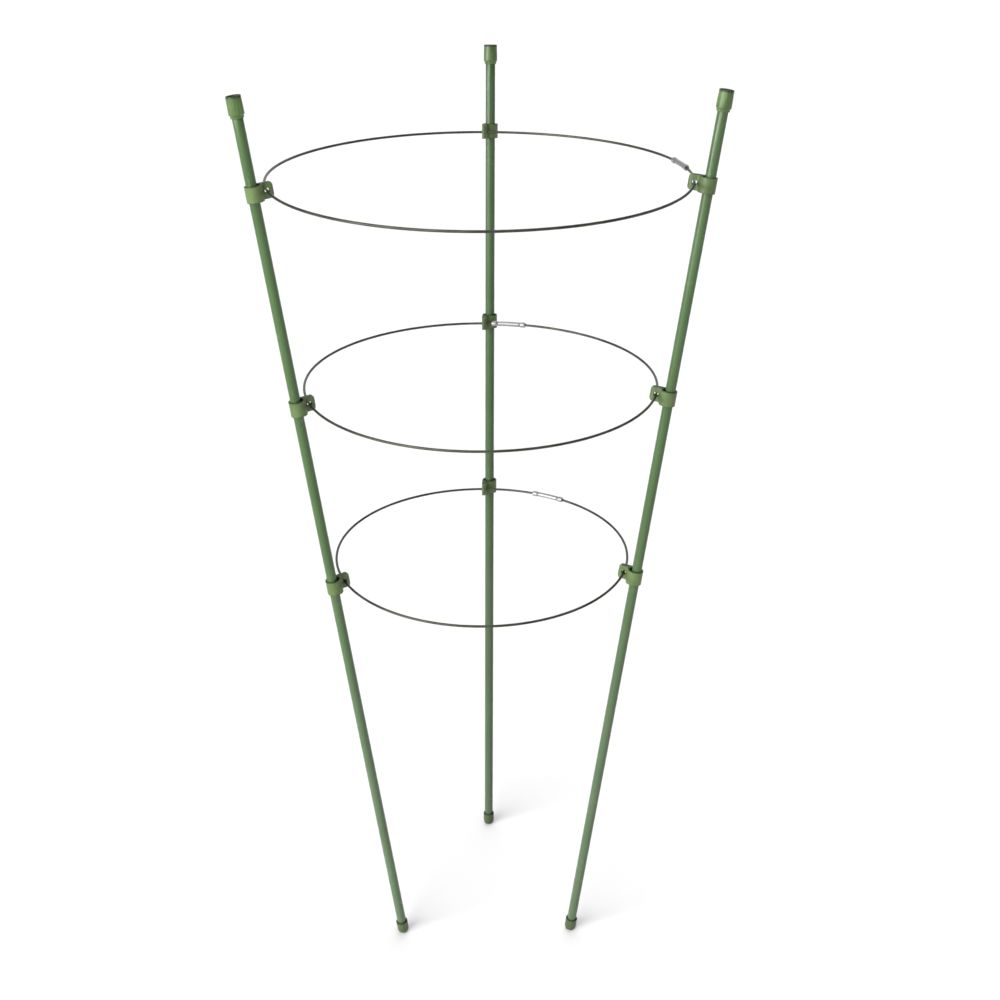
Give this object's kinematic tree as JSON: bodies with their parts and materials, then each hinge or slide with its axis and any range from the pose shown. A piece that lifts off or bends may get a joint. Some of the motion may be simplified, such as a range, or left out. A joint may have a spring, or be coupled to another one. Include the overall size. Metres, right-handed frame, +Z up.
{
  "type": "plant support",
  "caption": "Tapered plant support: leaning plastic-coated stakes carry wire rings that widen upwards, held by moulded clips and closed by crimped ferrules.",
  "frame": {"origin": "middle of the base: the centre of the bounding box in X and Y, at the height of the lowest foot", "axes": "+Z up, parallel to the rings' common axis, +Y towards the back stake, +X towards the right stake as the picture shows it"},
  "size_m": [0.3532, 0.342, 0.746],
  "materials": {
    "coat_green": "smooth satin extruded plastic coat",
    "cap_green": "satin moulded plastic",
    "clip_green": "satin moulded plastic",
    "wire_steel": "drawn steel wire, dark grey",
    "tube_steel": "plain rolled tube, hidden inside the coat",
    "ferrule_silver": "bright rolled sleeve"
  },
  "bodies": {
    "back_stake": {"steel_tube_back": "tube_steel", "stake_coat_back": "coat_green", "top_cap_back": "cap_green", "foot_cap_back": "cap_green"},
    "left_stake": {"steel_tube_left": "tube_steel", "stake_coat_left": "coat_green", "top_cap_left": "cap_green", "foot_cap_left": "cap_green"},
    "right_stake": {"steel_tube_right": "tube_steel", "stake_coat_right": "coat_green", "top_cap_right": "cap_green", "foot_cap_right": "cap_green"},
    "top_back_clip": {"clip_top_back": "clip_green"},
    "middle_back_clip": {"clip_middle_back": "clip_green"},
    "lower_back_clip": {"clip_lower_back": "clip_green"},
    "top_left_clip": {"clip_top_left": "clip_green"},
    "middle_left_clip": {"clip_middle_left": "clip_green"},
    "lower_left_clip": {"clip_lower_left": "clip_green"},
    "top_right_clip": {"clip_top_right": "clip_green"},
    "middle_right_clip": {"clip_middle_right": "clip_green"},
    "lower_right_clip": {"clip_lower_right": "clip_green"},
    "top_ring": {"ring_top": "wire_steel", "ferrule_top": "ferrule_silver"},
    "middle_ring": {"ring_middle": "wire_steel", "ferrule_middle": "ferrule_silver"},
    "lower_ring": {"ring_lower": "wire_steel", "ferrule_lower": "ferrule_silver"}
  },
  "joints": [
    {"name": "left_stake_swing", "type": "hinge", "parent": "back_stake", "child": "left_stake", "pos_m": [-0.00508, -0.01155, 0.36], "axis": [0, 0, 1], "range_deg": [-95, 60]},
    {"name": "right_stake_swing", "type": "hinge", "parent": "back_stake", "child": "right_stake", "pos_m": [-0.00508, -0.01155, 0.36], "axis": [0, 0, 1], "range_deg": [-65, 0]},
    {"name": "top_ring_lift", "type": "slide", "parent": "back_stake", "child": "top_back_clip", "axis": [0, 0.1144, 0.9934], "range_m": [-0.002, 0.002]},
    {"name": "middle_ring_lift", "type": "slide", "parent": "back_stake", "child": "middle_back_clip", "axis": [0, 0.1144, 0.9934], "range_m": [-0.002, 0.002]},
    {"name": "lower_ring_lift", "type": "slide", "parent": "back_stake", "child": "lower_back_clip", "axis": [0, 0.1144, 0.9934], "range_m": [-0.002, 0.002]},
    {"name": "top_left_clip_slide", "type": "slide", "parent": "left_stake", "child": "top_left_clip", "axis": [-0.1277, 0.0041, 0.9918], "range_m": [-0.002, 0.002]},
    {"name": "middle_left_clip_slide", "type": "slide", "parent": "left_stake", "child": "middle_left_clip", "axis": [-0.1277, 0.0041, 0.9918], "range_m": [-0.002, 0.002]},
    {"name": "lower_left_clip_slide", "type": "slide", "parent": "left_stake", "child": "lower_left_clip", "axis": [-0.1277, 0.0041, 0.9918], "range_m": [-0.002, 0.002]},
    {"name": "top_right_clip_slide", "type": "slide", "parent": "right_stake", "child": "top_right_clip", "axis": [0.1266, 0.0488, 0.9907], "range_m": [-0.002, 0.002]},
    {"name": "middle_right_clip_slide", "type": "slide", "parent": "right_stake", "child": "middle_right_clip", "axis": [0.1266, 0.0488, 0.9907], "range_m": [-0.002, 0.002]},
    {"name": "lower_right_clip_slide", "type": "slide", "parent": "right_stake", "child": "lower_right_clip", "axis": [0.1266, 0.0488, 0.9907], "range_m": [-0.002, 0.002]},
    {"name": "top_ring_turn", "type": "hinge", "parent": "top_back_clip", "child": "top_ring", "pos_m": [-0.00508, -0.01155, 0.677], "axis": [0, 0, 1], "range_deg": [0, 65]},
    {"name": "middle_ring_turn", "type": "hinge", "parent": "middle_back_clip", "child": "middle_ring", "pos_m": [-0.00508, -0.01155, 0.514], "axis": [0, 0, 1], "range_deg": [-75, 0]},
    {"name": "lower_ring_turn", "type": "hinge", "parent": "lower_back_clip", "child": "lower_ring", "pos_m": [-0.00508, -0.01155, 0.36], "axis": [0, 0, 1], "range_deg": [-60, 15]}
  ],
  "couplings": [
    {"joint": "top_left_clip_slide", "follows": "top_ring_lift", "ratio": 1},
    {"joint": "top_right_clip_slide", "follows": "top_ring_lift", "ratio": 1},
    {"joint": "middle_left_clip_slide", "follows": "middle_ring_lift", "ratio": 1},
    {"joint": "middle_right_clip_slide", "follows": "middle_ring_lift", "ratio": 1},
    {"joint": "lower_left_clip_slide", "follows": "lower_ring_lift", "ratio": 1},
    {"joint": "lower_right_clip_slide", "follows": "lower_ring_lift", "ratio": 1}
  ]
}
